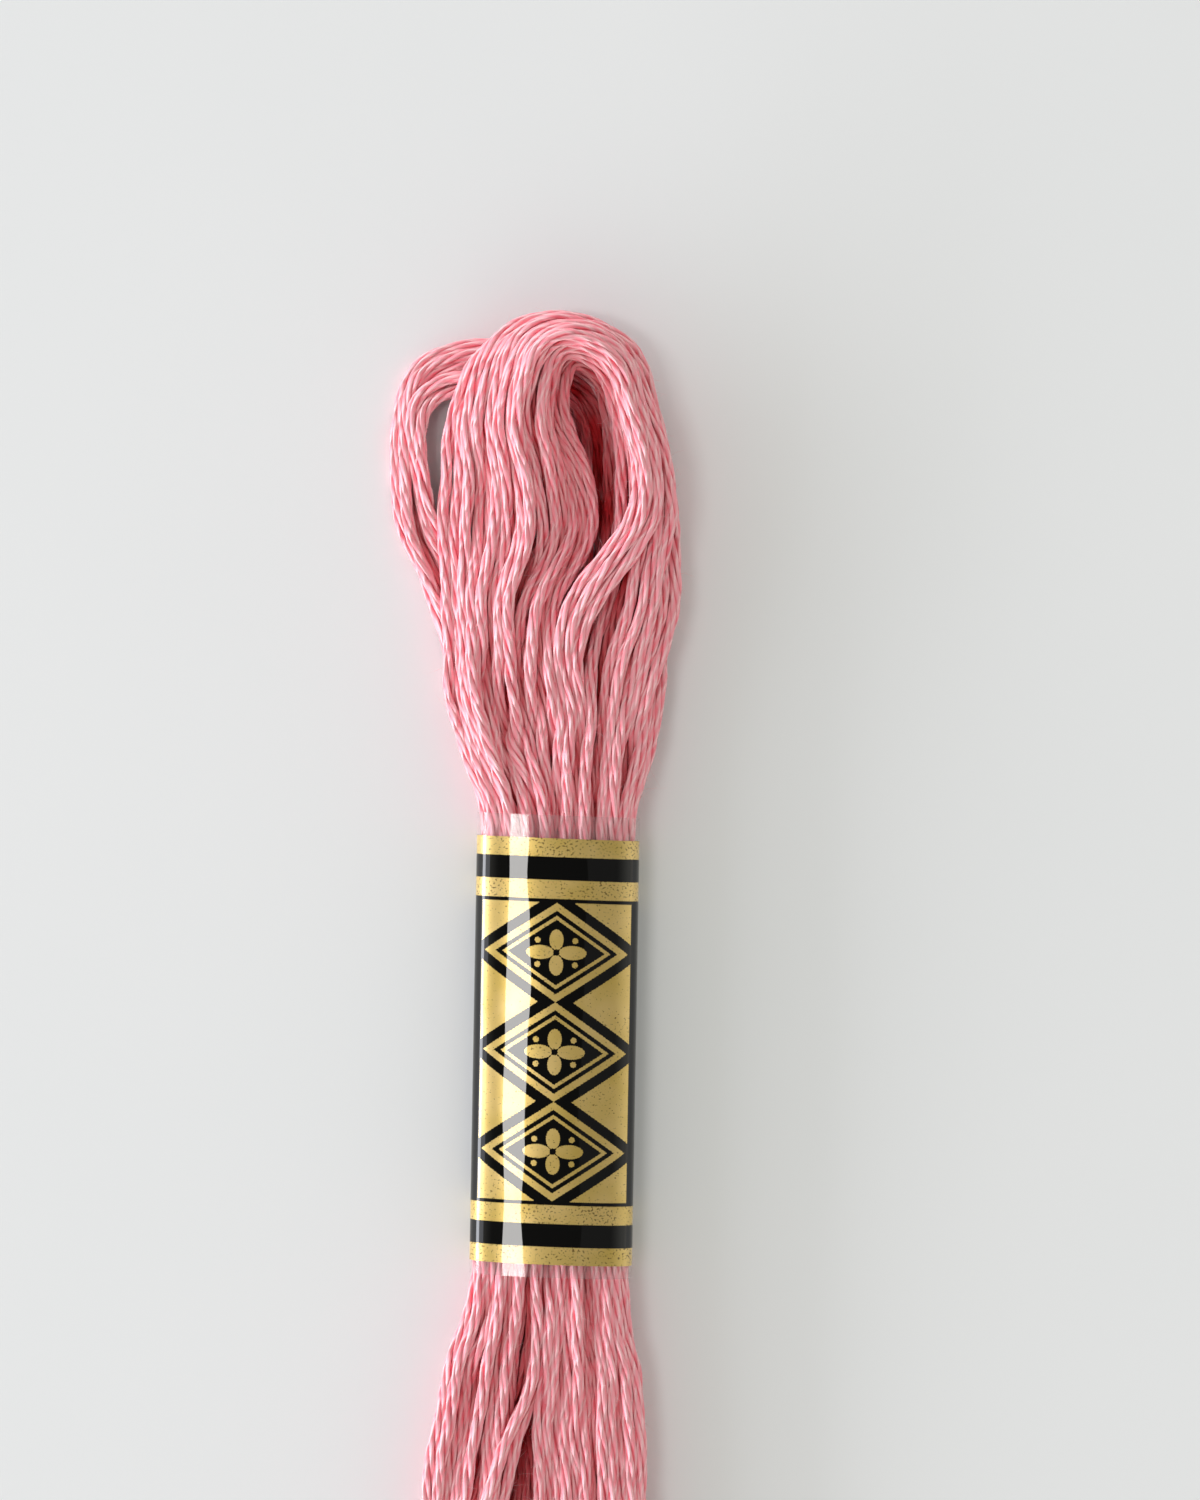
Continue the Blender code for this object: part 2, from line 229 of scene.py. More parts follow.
def arc_route(start_leg, end_leg, apex, stations, ribbon, start_share=1.0, end_share=1.0):
    """The rows of one arc, out along one leg, round the apex and back along the other."""
    start_ribbon = scaled_ribbon(ribbon, start_share)
    end_ribbon = scaled_ribbon(ribbon, end_share)
    out = leg_points(start_leg, stations, start_ribbon)
    out += arch_points(out[-1], apex, start_ribbon)
    back = leg_points(end_leg, stations, end_ribbon)
    back += arch_points(back[-1], apex, end_ribbon)
    middle = [(apex.x, apex.y, apex.z, *ribbon["apex"])]
    return smooth_path(out + middle + back[::-1], NODE_STEP / 3)


def tail_leg(lock, leg, crossing):
    """A leg of the tail, which fans out evenly in two layers."""
    slot_x, slot_z = leg.slot
    layer = TAIL_LAYERS["high" if slot_z > TAIL_LAYER_LIMIT else "low"]
    sections = {}
    for name, share in TAIL_SHARES.items():
        x = slot_x + (TAIL_MIDDLE + slot_x * TAIL_SPREAD - slot_x) * share
        if crossing:
            x += TAIL_CROSSING.get(lock, {}).get(name, 0.0)
        sections[name] = (x, layer)
    return Leg(slot=leg.slot, **sections)


def tail_apex(lock):
    """Where a lock turns at the tail's end: the widest furthest out, in three heights."""
    widths = {name: RIGHT_LEGS[name].slot[0] - LEFT_LEGS[name].slot[0] for name in HEAD_APEX}
    order = sorted(widths, key=widths.get, reverse=True).index(lock)
    height = TAIL_END_HEIGHTS[order % len(TAIL_END_HEIGHTS)]
    return Apex(TAIL_END_X, TAIL_END_Y + TAIL_INNER_STEP * order, height)


def resample(rows, step):
    """The same polyline with evenly spaced rows."""
    lengths = np.linalg.norm(np.diff(rows[:, :3], axis=0), axis=1)
    along = np.concatenate([[0], np.cumsum(lengths)])
    count = max(2, round(along[-1] / step))
    places = np.linspace(0, along[-1], count + 1)
    return np.stack([np.interp(places, along, column) for column in rows.T], axis=1)


def unit(vectors):
    """The same vectors at unit length."""
    return vectors / np.linalg.norm(vectors, axis=1, keepdims=True)


def level_frames(path):
    """The level normals and the upward normals of a path."""
    tangents = unit(np.gradient(path, axis=0))
    across = unit(np.cross((0.0, 0.0, 1.0), tangents))
    return across, np.cross(tangents, across)


def smoothstep(share):
    """A share from 0 to 1 that starts and ends slowly."""
    return share * share * (3 - 2 * share)


def eased(path, rounds, free):
    """Rounds off the corners of a path where free is 1."""
    result = path.copy()
    for _ in range(rounds):
        middle = 0.5 * result[1:-1] + 0.25 * (result[:-2] + result[2:])
        result[1:-1] += free[1:-1, None] * (middle - result[1:-1])
    return result


def wander(count, rng):
    """Slow random drift, in two columns, one value a node."""
    knots = max(4, int(count * NODE_STEP / WANDER_LENGTH) + 2)
    values = rng.normal(0, 1, (knots, 2))
    places = np.linspace(0, knots - 1.001, count)
    index = places.astype(int)
    share = smoothstep(places - index)[:, None]
    return values[index] * (1 - share) + values[index + 1] * share


def sway(points):
    """A gentle sideways drift that neighbouring turns share, so that they bend together."""
    x, y, z = (points / (SWAY_WIDTH, SWAY_LENGTH, SWAY_WIDTH)).T
    total = np.zeros(len(points))
    for wave in SWAY_WAVES:
        total += wave.size * np.sin(wave.along * math.pi * y + wave.across * x + wave.up * z + wave.phase)
    return SWAY_SIZE * total


def arc_nodes(route, start_place, end_place, rng):
    """One turn's path beside a lock's route, between two places in the ribbon."""
    rows = resample(route, NODE_STEP)
    outside = np.clip((np.abs(rows[:, 1]) - MOUTH + HOLD_DEPTH) / HOLD_LENGTH, 0, 1)
    centre = eased(rows[:, :3], SHAPING_ROUNDS, outside)
    across, up = level_frames(centre)
    share = smoothstep(np.linspace(0, 1, len(rows)))[:, None]
    places = np.array(start_place) * (1 - share) + np.array(end_place) * share
    drift = wander(len(rows), rng) * WANDER_SIZE * outside[:, None]
    sideways = places[:, :1] * rows[:, 3:4] + drift[:, :1]
    upwards = places[:, 1:] * rows[:, 4:5] + drift[:, 1:]
    nodes = centre + sideways * across + upwards * up
    nodes[:, 0] += sway(nodes) * outside
    return nodes


def wound_thread(rng):
    """The whole thread as one path, with the node at which each turn starts and the turns' locks."""
    turns = [(lock, place) for lock in HEAD_APEX for place in TURN_PLACES]
    following = turns[1:] + turns[:1]
    parts = []
    starts = [0]
    for (lock, place), (next_lock, next_place) in zip(turns, following):
        left, right = LEFT_LEGS[lock], RIGHT_LEGS[lock]
        widths = (LEFT_RIBBON_WIDTHS.get(lock, 1.0), RIGHT_RIBBON_WIDTHS.get(lock, 1.0))
        head = arc_route(left, right, HEAD_APEX[lock], HEAD, HEAD_RIBBON, *widths)
        parts.append(arc_nodes(head, place, place, rng)[:-1])
        down = tail_leg(lock, right, False)
        back = tail_leg(next_lock, LEFT_LEGS[next_lock], True)
        tail = arc_route(down, back, tail_apex(lock), TAIL, TAIL_RIBBON)
        parts.append(arc_nodes(tail, place, next_place, rng)[:-1])
        starts.append(starts[-1] + len(parts[-2]) + len(parts[-1]))
    return np.vstack(parts), starts, [lock for lock, _ in turns]


# ---------------------------------------------------------------- settling


def close_pairs(points, reach):
    """Index pairs of nodes within reach of each other, leaving out neighbours along the thread."""
    cell = np.floor(points / reach).astype(np.int64)
    cell -= cell.min(axis=0) - 1
    span = cell.max(axis=0) + 2
    key = (cell[:, 0] * span[1] + cell[:, 1]) * span[2] + cell[:, 2]
    order = np.argsort(key, kind="stable")
    keys = key[order]
    first, second = [], []
    steps = [(x, y, z) for x in (-1, 0, 1) for y in (-1, 0, 1) for z in (-1, 0, 1)]
    for x, y, z in steps:
        shift = (x * span[1] + y) * span[2] + z
        if shift < 0:
            continue
        low = np.searchsorted(keys, keys + shift, "left")
        count = np.searchsorted(keys, keys + shift, "right") - low
        a = np.repeat(np.arange(len(keys)), count)
        offset = np.concatenate([[0], np.cumsum(count)[:-1]])
        b = np.repeat(low - offset, count) + np.arange(count.sum())
        if shift == 0:
            a, b = a[b > a], b[b > a]
        first.append(order[a])
        second.append(order[b])
    a, b = np.concatenate(first), np.concatenate(second)
    near = ((points[a] - points[b]) ** 2).sum(axis=1) < reach * reach
    near &= np.abs(a - b) > 2
    return a[near], b[near]


def hold_in_band(points):
    """Keeps the nodes that pass through the band inside it."""
    full_height = BAND_HEIGHT + BAND_FLAT_DEPTH
    middle = BAND_HEIGHT - full_height / 2
    half_width = BAND_WIDTH / 2 - BAND_WALL - CLEARANCE
    half_height = full_height / 2 - BAND_WALL - CLEARANCE
    inside = np.abs(points[:, 1]) < MOUTH
    held = points[inside]
    x_share = np.abs(held[:, 0] / half_width) ** BAND_SQUARENESS
    z_share = np.abs((held[:, 2] - middle) / half_height) ** BAND_SQUARENESS
    over = np.maximum((x_share + z_share) ** (1 / BAND_SQUARENESS), 1)
    held[:, 0] /= over
    held[:, 2] = middle + (held[:, 2] - middle) / over
    held[:, 2] = np.maximum(held[:, 2], BAND_WALL + CLEARANCE)
    points[inside] = held


def settled(path, steps, diameter):
    """Pushes touching turns apart while each keeps its smooth route, the surface and the band."""
    points = path.copy()
    for step in range(steps):
        if step % CONTACT_RENEWAL == 0:
            a, b = close_pairs(points, diameter + CONTACT_REACH)
        drift = points - path
        smooth = drift.copy()
        smooth[1:-1] = 0.5 * drift[1:-1] + 0.25 * (drift[:-2] + drift[2:])
        points = path + smooth
        apart = points[a] - points[b]
        distance = np.sqrt((apart**2).sum(axis=1)) + 1e-9
        overlap = np.maximum(diameter - distance, 0)
        push = (0.5 * overlap / distance)[:, None] * apart
        hit = overlap > 0
        ones = np.bincount(a[hit], minlength=len(points)) + np.bincount(b[hit], minlength=len(points))
        share = 1 / np.maximum(1, 0.5 * ones)
        for axis in range(3):
            move = np.bincount(a[hit], push[hit, axis], len(points))
            move -= np.bincount(b[hit], push[hit, axis], len(points))
            points[:, axis] += move * share
        points[:, 2] = np.maximum(points[:, 2], CLEARANCE)
        hold_in_band(points)
    return points


# ---------------------------------------------------------------- strands


def carried_frames(path):
    """Two normals at each node of a path, carried along it without turning about it."""
    tangents = unit(np.gradient(path, axis=0))
    normals = np.empty_like(path)
    normal = np.cross((0.0, 0.0, 1.0), tangents[0])
    for index, tangent in enumerate(tangents):
        normal = normal - tangent * normal.dot(tangent)
        normal = normal / math.sqrt(normal.dot(normal))
        normals[index] = normal
    return normals, np.cross(tangents, normals)


def slow_noise(places, wavelength, rng):
    """Smooth noise of about unit size along a line, at the given places."""
    knots = int(places[-1] / wavelength) + 3
    return np.interp(places / wavelength, np.arange(knots), rng.normal(0, 1, knots))


def strand_paths(path, rng):
    """The six strands' centre lines, each with its directions out of the floss, and the length so far."""
    side, up = carried_frames(path)
    lengths = np.linalg.norm(np.diff(path, axis=0), axis=1)
    along = np.concatenate([[0], np.cumsum(lengths)])
    slack = np.clip(slow_noise(along, PITCH_DRIFT.length, rng), -PITCH_DRIFT_LIMIT, PITCH_DRIFT_LIMIT)
    pitch = TWIST_PITCH * (1 + PITCH_DRIFT.size * slack)
    turned = np.concatenate([[0], np.cumsum(2 * math.pi * lengths / pitch[1:])])
    strands = [(path, side)]
    for number in range(OUTER_STRANDS):
        angle = 2 * math.pi * number / OUTER_STRANDS - turned
        angle += ANGLE_DRIFT.size * slow_noise(along, ANGLE_DRIFT.length, rng)
        radius = LAY_RADIUS * (1 + LAY_DRIFT.size * slow_noise(along, LAY_DRIFT.length, rng))
        out = np.cos(angle)[:, None] * side + np.sin(angle)[:, None] * up
        strands.append((path + radius[:, None] * out, out))
    return strands, along


# ---------------------------------------------------------------- painted shade deep in the gaps

# The highest and lowest turns are kept on a grid of cells, and each node looks over it in all ways
# round. A turn up to COVER_MARGIN above the node still walls it in.
COVER_CELL = 0.4
COVER_STEPS = np.arange(0.8, 8.1, 0.8)
COVER_WAYS = 12
COVER_MARGIN = 1.1

# A node counts less where a turn passes above it, and not at all once that is OVERLAP_LIMIT times
# OVERLAP_HEIGHT higher.
OVERLAP_LIMIT = 1.4
OVERLAP_HEIGHT = 0.9


def cells_of(places, low):
    """The grid cells of places, for a grid whose corner is at low."""
    return tuple(((places - low) / COVER_CELL).astype(int).T)


def painted_shade_in_gaps(path):
    """How deep each node lies in a gap that opens upwards, from 0 in the open to 1, which sets how much
    painted shade its colour gets.

    Only what stands on two opposite sides counts, and only where a turn lies that way at about
    the node's height or lower, so the outside of the skein is open. A node with another turn
    above it counts as open too, because it is only seen from the side.
    """
    between = 0.5 * (path[1:] + path[:-1])
    points = np.vstack([path, between])
    low = points[:, :2].min(axis=0) - COVER_STEPS[-1] - COVER_CELL
    size = ((points[:, :2].max(axis=0) - low + COVER_STEPS[-1]) / COVER_CELL).astype(int) + 2
    tops = np.zeros(size)
    bottoms = np.full(size, np.inf)
    x, y = cells_of(points[:, :2], low)
    np.maximum.at(tops, (x, y), points[:, 2])
    np.minimum.at(bottoms, (x, y), points[:, 2])
    above = tops[cells_of(path[:, :2], low)] - path[:, 2]
    for x_shift, y_shift in ((1, 0), (-1, 0), (0, 1), (0, -1)):
        np.maximum.at(tops, (x + x_shift, y + y_shift), points[:, 2])
    hidden = []
    for angle in 2 * math.pi * np.arange(COVER_WAYS) / COVER_WAYS:
        way = np.array((math.cos(angle), math.sin(angle)))
        slope = np.zeros(len(path))
        walled = np.zeros(len(path), dtype=bool)
        for distance in COVER_STEPS:
            there = cells_of(path[:, :2] + way * distance, low)
            slope = np.maximum(slope, (tops[there] - path[:, 2]) / distance)
            walled |= bottoms[there] < path[:, 2] + COVER_MARGIN
        hidden.append(walled * slope / np.sqrt(1 + slope**2))
    half = COVER_WAYS // 2
    hidden = np.minimum(hidden[:half], hidden[half:]).mean(axis=0)
    hidden *= np.clip(OVERLAP_LIMIT - above / OVERLAP_HEIGHT, 0, 1)
    hidden[1:-1] = 0.5 * hidden[1:-1] + 0.25 * (hidden[:-2] + hidden[2:])
    return hidden


# ---------------------------------------------------------------- tubes


class MeshParts:
    """Gathers closed tubes into one mesh, with a map of the way round and the length of each."""

    def __init__(self):
        self.vertices, self.quads, self.caps, self.maps, self.painted_shades = [], [], [], [], []
        self.count = 0

    def add_tube(self, centres, outward, radii, sides, along, painted_shade):
        """Adds a tube with a ring of vertices at each of the centres."""
        tangents = unit(np.gradient(centres, axis=0))
        first = unit(outward - tangents * (outward * tangents).sum(axis=1)[:, None])
        second = np.cross(tangents, first)
        angles = 2 * math.pi * np.arange(sides) / sides
        ring = (
            np.cos(angles)[None, :, None] * first[:, None, :]
            + np.sin(angles)[None, :, None] * second[:, None, :]
        )
        rings = len(centres)
        self.vertices.append((centres[:, None, :] + radii[:, None, None] * ring).reshape(-1, 3))
        row, column = np.meshgrid(np.arange(rings - 1), np.arange(sides), indexing="ij")
        start = row * sides
        beside = (column + 1) % sides
        corners = (start + column, start + beside, start + sides + beside, start + sides + column)
        self.quads.append(np.stack(corners, axis=-1).reshape(-1, 4) + self.count)
        self.caps.append(self.count + np.arange(sides)[::-1])
        self.caps.append(self.count + (rings - 1) * sides + np.arange(sides))
        round_share = np.stack([column, column + 1, column + 1, column], axis=-1) / sides
        length = np.stack([along[row], along[row], along[row + 1], along[row + 1]], axis=-1)
        self.maps.append(np.stack([round_share, length], axis=-1).reshape(-1, 2))
        self.painted_shades.append(np.repeat(painted_shade, sides))
        self.count += rings * sides

    def build(self, name, map_name):
        """Makes the piece, with how deep in a gap each vertex lies, for painted shade, as an attribute."""
        vertices = np.vstack(self.vertices) * MM
        quads = np.vstack(self.quads)
        sizes = np.concatenate([np.full(len(quads), 4), [len(cap) for cap in self.caps]])
        corners = np.concatenate([quads.ravel(), *self.caps])
        mesh = bpy.data.meshes.new(name)
        mesh.vertices.add(len(vertices))
        mesh.vertices.foreach_set("co", vertices.ravel())
        mesh.loops.add(len(corners))
        mesh.loops.foreach_set("vertex_index", corners)
        mesh.polygons.add(len(sizes))
        mesh.polygons.foreach_set("loop_start", np.concatenate([[0], np.cumsum(sizes)[:-1]]))
        mesh.update(calc_edges=True)
        layer = mesh.uv_layers.new(name=map_name)
        places = np.zeros((len(corners), 2))
        places[: 4 * len(quads)] = np.vstack(self.maps)
        layer.data.foreach_set("uv", places.ravel())
        painted_shade = mesh.attributes.new("painted_shade", "FLOAT", "POINT")
        painted_shade.data.foreach_set("value", np.concatenate(self.painted_shades))
        mesh.shade_smooth()
        piece = bpy.data.objects.new(name, mesh)
        bpy.context.scene.collection.objects.link(piece)
        return piece


def ring_nodes(path, start, end):
    """The nodes from start to end that get a ring: few of them where the band hides the thread."""
    nodes = np.arange(start, end + 1)
    hidden = np.abs(path[nodes, 1]) < MOUTH - HIDDEN_DEPTH
    keep = ~hidden | (nodes % HIDDEN_STRIDE == 0)
    keep[0] = keep[-1] = True
    return nodes[keep]


def dress_floss(path, starts, locks, painted_shade, rng):
    """One piece a lock, each with its turns' six strands."""
    strands, along = strand_paths(path, rng)
    pieces = []
    for lock in HEAD_APEX:
        parts = MeshParts()
        for turn, name in enumerate(locks):
            if name != lock:
                continue
            nodes = ring_nodes(path, starts[turn], min(starts[turn + 1], len(path) - 1))
            radii = np.full(len(nodes), STRAND_RADIUS)
            for number, (centres, outward) in enumerate(strands):
                sides = OUTER_SIDES if number else CORE_SIDES
                length = along[nodes] - along[nodes[0]] + rng.uniform(0, MAP_SHIFT)
                parts.add_tube(centres[nodes], outward[nodes], radii, sides, length, painted_shade[nodes])
        pieces.append(parts.build(f"floss_turns_{lock}", "fibre"))
    return pieces


# ---------------------------------------------------------------- stray fibres

HAIR_COUNT = 2600
HAIR_RADIUS = 0.011
HAIR_TAPER = 0.6
HAIR_LENGTH = (0.35, 1.5)
HAIR_SEGMENTS = 4
HAIR_SIDES = 3
HAIR_ROOT = 0.42
HAIR_RISE = 0.55
HAIR_LEAN = 0.7
HAIR_CURL = 0.25
HAIR_FLOOR = 0.05

# How widely the hairs' directions scatter.
RISE_SCATTER = 0.45
LEAN_SCATTER = 0.35
CURL_SCATTER = 0.25

# Hairs grow clear of the band and of the surface, on nodes that have few others within reach.
HAIR_FROM_BAND = 1.0
HAIR_LOWEST = 1.0
OPENNESS_REACH = 1.7

# One spot above the band is fuzzier.
FUZZY_SPOT = (6.3, 22.3)
FUZZY_REACH = 1.6
FUZZY_EXCESS = 14.0


def exposed_nodes(path):
    """Each node's outward direction and how open its surroundings are."""
    a, b = close_pairs(path, OPENNESS_REACH)
    pull = np.zeros_like(path)
    for axis in range(3):
        gap = path[b, axis] - path[a, axis]
        pull[:, axis] = np.bincount(a, gap, len(path)) - np.bincount(b, gap, len(path))
    size = np.linalg.norm(pull, axis=1)
    return -pull / (size[:, None] + 1e-6), size


def stray_fibres(path, painted_shade, rng):
    """Fine hairs that stand off the outer threads."""
    outward, openness = exposed_nodes(path)
    outside = (np.abs(path[:, 1]) > BAND_LENGTH / 2 + HAIR_FROM_BAND) & (path[:, 2] > HAIR_LOWEST)
    from_spot = np.linalg.norm(path[:, :2] - FUZZY_SPOT, axis=1) / FUZZY_REACH
    weight = np.where(outside, openness * (1 + FUZZY_EXCESS * np.exp(-(from_spot**2))), 0)
    chosen = rng.choice(len(path), HAIR_COUNT, p=weight / weight.sum())
    tangents = unit(np.gradient(path, axis=0))
    parts = MeshParts()
    share = np.linspace(0, 1, HAIR_SEGMENTS + 1)
    radii = HAIR_RADIUS * (1 - HAIR_TAPER * share)
    for node in chosen:
        out = outward[node] + rng.normal(0, RISE_SCATTER, 3)
        out /= np.linalg.norm(out)
        lean = tangents[node] * rng.choice((-1, 1)) + rng.normal(0, LEAN_SCATTER, 3)
        length = rng.uniform(*HAIR_LENGTH) * rng.uniform(0.5, 1)
        start = path[node] + outward[node] * FLOSS_DIAMETER * HAIR_ROOT
        curl = rng.normal(0, CURL_SCATTER, 3) + HAIR_CURL * out
        way = np.outer(share, HAIR_RISE * out + HAIR_LEAN * lean) + np.outer(share**2, curl)
        centres = start + length * way
        centres[:, 2] = np.maximum(centres[:, 2], HAIR_FLOOR)
        side = np.tile(np.cross(lean, out) + 1e-3, (len(centres), 1))
        hair_painted_shade = np.full(len(centres), painted_shade[node])
        parts.add_tube(centres, side, radii, HAIR_SIDES, share * length, hair_painted_shade)
    return parts.build("stray_fibres", "fibre")


# ---------------------------------------------------------------- printed film band

FILM_THICKNESS = 0.10
FILM_AROUND = 144
FILM_ROW = 0.8
FILM_SKEW = math.tan(math.radians(1.2))
FILM_TOP = BAND_LENGTH / 2
FILM_BOTTOM = -BAND_LENGTH / 2
PRINT_TOP = 17.15
PRINT_BOTTOM = -17.98
OUTLINE_STEPS = 4000
RIM_ANGLE = math.radians(50)

# The film's shallow waves: their depth, and how fast they turn along, across and aslant, per millimetre.
WAVE_DEPTH = 0.035
WAVE_ALONG = 0.35
WAVE_ACROSS = 0.55
WAVE_SLANT = 0.11


def band_outline(count, inset):
    """Evenly spaced points round the band's section, from the middle of its underside, and its girth."""
    full_height = BAND_HEIGHT + BAND_FLAT_DEPTH
    middle = BAND_HEIGHT - full_height / 2
    angles = np.linspace(0, 2 * math.pi, OUTLINE_STEPS) - math.pi / 2
    half_width, half_height = BAND_WIDTH / 2 - inset, full_height / 2 - inset
    power = 2 / BAND_SQUARENESS
    x = half_width * np.sign(np.cos(angles)) * np.abs(np.cos(angles)) ** power
    z = middle + half_height * np.sign(np.sin(angles)) * np.abs(np.sin(angles)) ** power
    z = np.maximum(z, inset)
    lengths = np.hypot(np.diff(x), np.diff(z))
    around = np.concatenate([[0], np.cumsum(lengths)])
    places = np.linspace(0, around[-1], count + 1)
    points = np.stack([np.interp(places, around, x), np.interp(places, around, z)], axis=1)
    return points[:-1], around[-1]


def film_piece(name, low, high, phase):
    """A closed tube of film between two places along the band, mapped in millimetres round and along."""
    outer, girth = band_outline(FILM_AROUND, 0.0)
    inner, _ = band_outline(FILM_AROUND, FILM_THICKNESS)
    rows = max(2, round((high - low) / FILM_ROW)) + 1
    stations = np.linspace(low, high, rows)
    vertices = []
    for x, height in (outer.T, inner.T):
        lift = np.clip(height / BAND_HEIGHT, 0, 1)
        for station in stations:
            wave = WAVE_DEPTH * np.sin(station * WAVE_ALONG + phase)
            wave = wave * np.sin(x * WAVE_ACROSS + station * WAVE_SLANT)
            z = height - np.abs(wave) * lift
            y = station - FILM_SKEW * x
            vertices.append(np.stack([x, y, z], axis=1))
    vertices = np.vstack(vertices)
    layer_size = rows * FILM_AROUND
    faces, maps = [], []

    def corner(layer, row, column):
        return layer * layer_size + row * FILM_AROUND + column % FILM_AROUND

    def place(row, column):
        return (column / FILM_AROUND * girth - girth / 2, stations[row])

    for row in range(rows - 1):
        for column in range(FILM_AROUND):
            spots = [(row, column), (row, column + 1), (row + 1, column + 1), (row + 1, column)]
            faces.append([corner(0, *spot) for spot in spots])
            maps.append([place(*spot) for spot in spots])
            faces.append([corner(1, *spot) for spot in reversed(spots)])
            maps.append([place(*spot) for spot in reversed(spots)])
    for column in range(FILM_AROUND):
        for row, way in ((0, 1), (rows - 1, -1)):
            rim = [(1, row, column), (1, row, column + 1), (0, row, column + 1), (0, row, column)]
            rim = rim[::way]
            faces.append([corner(*spot) for spot in rim])
            maps.append([place(spot[1], spot[2]) for spot in rim])
    mesh = bpy.data.meshes.new(name)
    mesh.from_pydata((vertices * MM).tolist(), [], faces)
    layer = mesh.uv_layers.new(name="film")
    layer.data.foreach_set("uv", np.array(maps, float).ravel())
    mesh.shade_smooth()
    mesh.set_sharp_from_angle(angle=RIM_ANGLE)
    piece = bpy.data.objects.new(name, mesh)
    bpy.context.scene.collection.objects.link(piece)
    return piece


# ---------------------------------------------------------------- materials


class Field:
    """A number that varies over a surface, with ordinary arithmetic in place of Math nodes."""

    def __init__(self, tree, socket):
        self.tree = tree
        self.socket = socket

    def _math(self, operation, *others):
        node = self.tree.nodes.new("ShaderNodeMath")
        node.operation = operation
        for slot, value in zip(node.inputs, (self, *others)):
            if isinstance(value, Field):
                self.tree.links.new(value.socket, slot)
            else:
                slot.default_value = value
        return Field(self.tree, node.outputs[0])

    def __add__(self, other):
        return self._math("ADD", other)

    def __sub__(self, other):
        return self._math("SUBTRACT", other)

    def __mul__(self, other):
        return self._math("MULTIPLY", other)

    def __truediv__(self, other):
        return self._math("DIVIDE", other)

    def __pow__(self, other):
        return self._math("POWER", other)

    def __gt__(self, other):
        return self._math("GREATER_THAN", other)

    def __lt__(self, other):
        return self._math("LESS_THAN", other)

    def __abs__(self):
        return self._math("ABSOLUTE")

    def cosine(self):
        return self._math("COSINE")

    def both(self, other):
        return self._math("MINIMUM", other)

    def either(self, other):
        return self._math("MAXIMUM", other)

    def inverted(self):
        return (self * -1.0) + 1.0

    def zigzag(self, size):
        """A triangle wave from 0 to size."""
        return self._math("PINGPONG", size)

    def centred(self, pitch):
        """The distance, with its sign, from the nearest multiple of pitch."""
        return self._math("WRAP", pitch / 2, -pitch / 2)

    def between(self, low, high):
        return (self > low).both(self < high)


def any_of(fields):
    """1 where one of the fields is 1."""
    return reduce(Field.either, fields)


def material_with_shader(name):
    """A new material, its node tree and its shader."""
    material = bpy.data.materials.new(name)
    material.use_nodes = True
    return material, material.node_tree, material.node_tree.nodes["Principled BSDF"]


def mapped(tree, map_name):
    """The two columns of a piece's map as fields."""
    source = tree.nodes.new("ShaderNodeUVMap")
    source.uv_map = map_name
    split = tree.nodes.new("ShaderNodeSeparateXYZ")
    tree.links.new(source.outputs["UV"], split.inputs[0])
    return Field(tree, split.outputs[0]), Field(tree, split.outputs[1])


def vector_of(tree, *fields):
    """A vector socket with up to three fields or numbers."""
    node = tree.nodes.new("ShaderNodeCombineXYZ")
    for slot, value in zip(node.inputs, fields):
        if isinstance(value, Field):
            tree.links.new(value.socket, slot)
        else:
            slot.default_value = value
    return node.outputs[0]


def noise(tree, vector, scale, detail=2.0, roughness=0.5):
    """Soft noise over a vector, from about 0.25 to 0.75."""
    node = tree.nodes.new("ShaderNodeTexNoise")
    tree.links.new(vector, node.inputs["Vector"])
    node.inputs["Scale"].default_value = scale
    node.inputs["Detail"].default_value = detail
    node.inputs["Roughness"].default_value = roughness
    return Field(tree, node.outputs["Fac"])


def ramp(tree, field, stops):
    """Colours that blend from stop to stop as field rises."""
    node = tree.nodes.new("ShaderNodeValToRGB")
    tree.links.new(field.socket, node.inputs[0])
    elements = node.color_ramp.elements
    while len(elements) < len(stops):
        elements.new(0.5)
    for element, (place, colour) in zip(elements, stops):
        element.position = place
        element.color = (*colour, 1.0)
    return node.outputs[0]


def mixed(tree, field, first, second):
    """first where field is 0 and second where it is 1; each is a colour or a colour socket."""
    node = tree.nodes.new("ShaderNodeMix")
    node.data_type = "RGBA"
    tree.links.new(field.socket, node.inputs["Factor"])
    colour_slots = [slot for slot in node.inputs if slot.type == "RGBA"]
    for slot, value in zip(colour_slots, (first, second)):
        if isinstance(value, bpy.types.NodeSocket):
            tree.links.new(value, slot)
        else:
            slot.default_value = (*value, 1.0)
    return next(slot for slot in node.outputs if slot.type == "RGBA")


def bumped(tree, shader, height, strength, distance):
    """Gives a shader a relief that rises by distance where height goes from 0 to 1."""
    node = tree.nodes.new("ShaderNodeBump")
    node.inputs["Strength"].default_value = strength
    node.inputs["Distance"].default_value = distance
    tree.links.new(height.socket, node.inputs["Height"])
    tree.links.new(node.outputs[0], shader.inputs["Normal"])


FLOSS_STOPS = (
    (0.36, (0.93, 0.205, 0.265)),
    (0.60, (0.975, 0.440, 0.495)),
    (0.88, (0.985, 0.600, 0.625)),
)
FLOSS_SHEEN = (1.0, 0.66, 0.57)
FIBRE_STOPS = ((0.35, (0.80, 0.42, 0.46)), (0.65, (0.90, 0.66, 0.68)))

# Painted shade: turns that lie deep in a gap that opens upwards get a darker, deeper red base colour.
PAINTED_SHADE_COLOUR = (0.58, 0.024, 0.032)
PAINTED_SHADE_START = 0.08
PAINTED_SHADE_GAIN = 1.5
PAINTED_SHADE_POWER = 1.1


